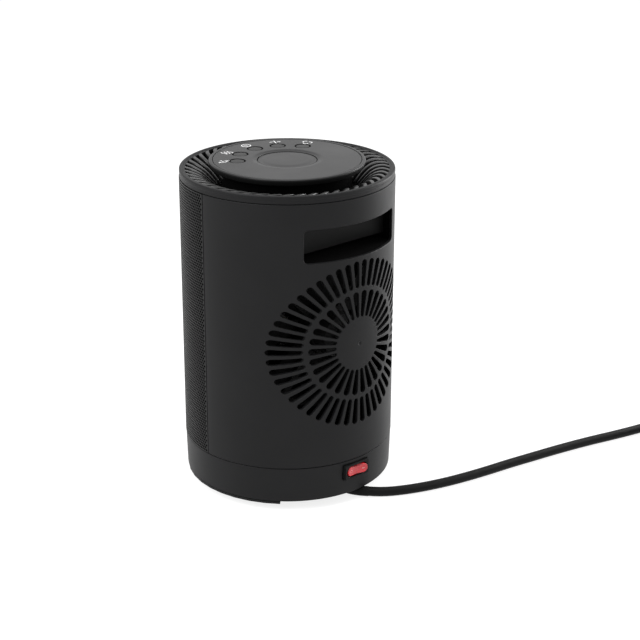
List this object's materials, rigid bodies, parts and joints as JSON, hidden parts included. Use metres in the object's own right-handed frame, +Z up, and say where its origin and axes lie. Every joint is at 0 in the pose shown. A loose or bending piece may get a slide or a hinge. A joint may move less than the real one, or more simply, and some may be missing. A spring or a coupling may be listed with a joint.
{
  "type": "ceramic space heater",
  "caption": "Upright round fan heater with a mesh front, radial rear intake, handle recess, swirled vane top ring, raised button disc, rear rocker switch, swinging base and mains lead.",
  "frame": {"origin": "on the axis of the round body, on the surface that the heater stands on", "axes": "+Z up along the body's axis; -Y out of the mesh front, the way the warm air leaves; +Y out of the rear shell with its grille, rocker switch and lead; +X to the right seen from the front"},
  "size_m": [0.4328, 0.3547, 0.2521],
  "materials": {
    "housing": "fine spark-eroded matt black moulding",
    "disc": "smooth satin black moulding",
    "inner": "plain black moulding",
    "mesh": "fine perforated steel, black powder coat",
    "rubber": "matt soft moulding",
    "rocker": "glossy translucent red",
    "lead": "satin black sheath",
    "steel": "zinc-plated steel",
    "aluminium": "plain foil and sheet",
    "ceramic": "matt ceramic",
    "glide": "smooth low-friction plastic",
    "board": "green circuit board laminate",
    "brass": "bright brass"
  },
  "bodies": {
    "stand": {"foot_plate": "housing", "rubber_foot_1": "rubber", "rubber_foot_2": "rubber", "rubber_foot_3": "rubber", "rubber_foot_4": "rubber", "swing_glide_ring": "glide", "pivot_washer": "steel", "pivot_screw": "steel"},
    "heater": {"rear_shell": "housing", "louvre_ring": "housing", "base_ring": "housing", "control_housing": "disc", "front_frame": "inner", "fan_shroud": "inner", "control_panel": "disc", "air_duct": "inner", "mains_lead": "lead", "swing_motor": "steel", "lead_coil": "lead", "plug": "rubber", "cord_relief": "rubber", "switch_bezel": "housing", "control_board": "board", "handle_pocket": "inner", "front_mesh": "mesh", "heating_fins_1": "aluminium", "heating_fins_2": "aluminium", "heating_fins_3": "aluminium", "heating_fins_4": "aluminium", "power_board": "board", "fan_motor": "steel", "thermostat": "aluminium", "ptc_frame": "inner", "thermal_fuse": "ceramic", "switch_body": "inner", "motor_screw_1": "steel", "motor_screw_2": "steel", "base_screw_1": "steel", "base_screw_2": "steel", "base_screw_3": "steel", "base_screw_4": "steel", "tip_over_switch": "inner", "ptc_bar_1": "ceramic", "ptc_bar_2": "ceramic", "ptc_bar_3": "ceramic", "plug_blade_1": "brass", "plug_blade_2": "brass"},
    "swing_crank": {"swing_crank": "inner"},
    "fan": {"fan_impeller": "inner", "motor_shaft": "steel"},
    "rocker": {"rocker": "rocker"},
    "center_button": {"center_button": "disc"},
    "key_button_1": {"key_button_1": "disc"},
    "key_button_2": {"key_button_2": "disc"},
    "key_button_3": {"key_button_3": "disc"},
    "key_button_4": {"key_button_4": "disc"},
    "key_button_5": {"key_button_5": "disc"}
  },
  "joints": [
    {"name": "oscillation", "type": "hinge", "parent": "stand", "child": "heater", "pos_m": [0, 0, 0.0117], "axis": [0, 0, 1], "range_deg": [-35, 35]},
    {"name": "crank_turn", "type": "hinge", "parent": "heater", "child": "swing_crank", "pos_m": [0, -0.031, 0.0137], "axis": [0, 0, 1], "range_deg": [-105, 105]},
    {"name": "fan_spin", "type": "hinge", "parent": "heater", "child": "fan", "pos_m": [0, 0.026, 0.1286], "axis": [0, 1, 0], "continuous": true},
    {"name": "mains_switch", "type": "hinge", "parent": "heater", "child": "rocker", "pos_m": [0.002, 0.0787, 0.0265], "axis": [0, 0, 1], "range_deg": [0, 12]},
    {"name": "center_button_press", "type": "slide", "parent": "heater", "child": "center_button", "axis": [0, 0, -1], "range_m": [0, 0.001], "stiffness_N_per_m": 200},
    {"name": "key_button_1_press", "type": "slide", "parent": "heater", "child": "key_button_1", "axis": [0, 0, -1], "range_m": [0, 0.001], "stiffness_N_per_m": 200},
    {"name": "key_button_2_press", "type": "slide", "parent": "heater", "child": "key_button_2", "axis": [0, 0, -1], "range_m": [0, 0.001], "stiffness_N_per_m": 200},
    {"name": "key_button_3_press", "type": "slide", "parent": "heater", "child": "key_button_3", "axis": [0, 0, -1], "range_m": [0, 0.001], "stiffness_N_per_m": 200},
    {"name": "key_button_4_press", "type": "slide", "parent": "heater", "child": "key_button_4", "axis": [0, 0, -1], "range_m": [0, 0.001], "stiffness_N_per_m": 200},
    {"name": "key_button_5_press", "type": "slide", "parent": "heater", "child": "key_button_5", "axis": [0, 0, -1], "range_m": [0, 0.001], "stiffness_N_per_m": 200}
  ],
  "couplings": [
    {"joint": "crank_turn", "follows": "oscillation", "ratio": -3}
  ]
}
